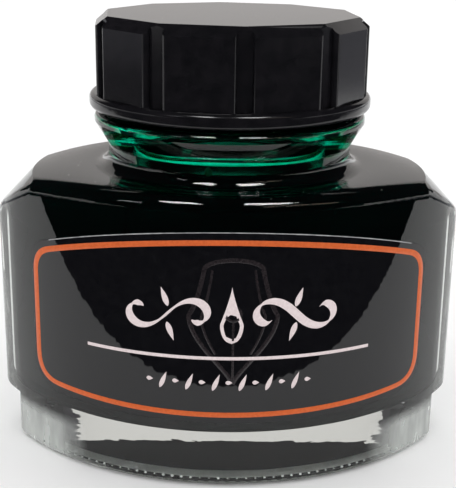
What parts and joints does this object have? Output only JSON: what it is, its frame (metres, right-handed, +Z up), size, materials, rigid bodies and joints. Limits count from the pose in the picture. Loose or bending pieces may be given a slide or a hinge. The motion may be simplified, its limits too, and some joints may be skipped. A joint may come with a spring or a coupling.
{
  "type": "ink bottle",
  "caption": "Low lens-shaped glass bottle of fountain pen ink with a faceted screw cap, a liner and a wrapped front label.",
  "frame": {"origin": "middle of the base, on the surface that the bottle stands on", "axes": "+Z up, X across the label along the bottle's long side, -Y towards the label"},
  "size_m": [0.0728, 0.0451, 0.0677],
  "materials": {
    "glass": "clear moulded soda-lime glass, faintly green",
    "ink": "deep green water-based ink, nearly black in bulk",
    "label_film": "black printed film with an orange border line",
    "cap_plastic": "glossy black moulded plastic",
    "liner_film": "thin white polyethylene film",
    "liner_board": "pressed pulp board"
  },
  "bodies": {
    "bottle": {"glass_bottle": "glass", "ink_fill": "ink", "front_label": "label_film"},
    "liner": {"liner_facing": "liner_film", "liner_backing": "liner_board"},
    "cap": {"cap_shell": "cap_plastic"}
  },
  "joints": [
    {"name": "cap_lift", "type": "slide", "parent": "bottle", "child": "liner", "axis": [0, 0, 1], "range_m": [0, 0.0128]},
    {"name": "cap_turn", "type": "hinge", "parent": "liner", "child": "cap", "pos_m": [0, 0, 0.06], "axis": [0, 0, 1], "range_deg": [0, 1080]}
  ],
  "couplings": [
    {"joint": "cap_lift", "follows": "cap_turn", "m_per_rad": 0.00067322}
  ]
}
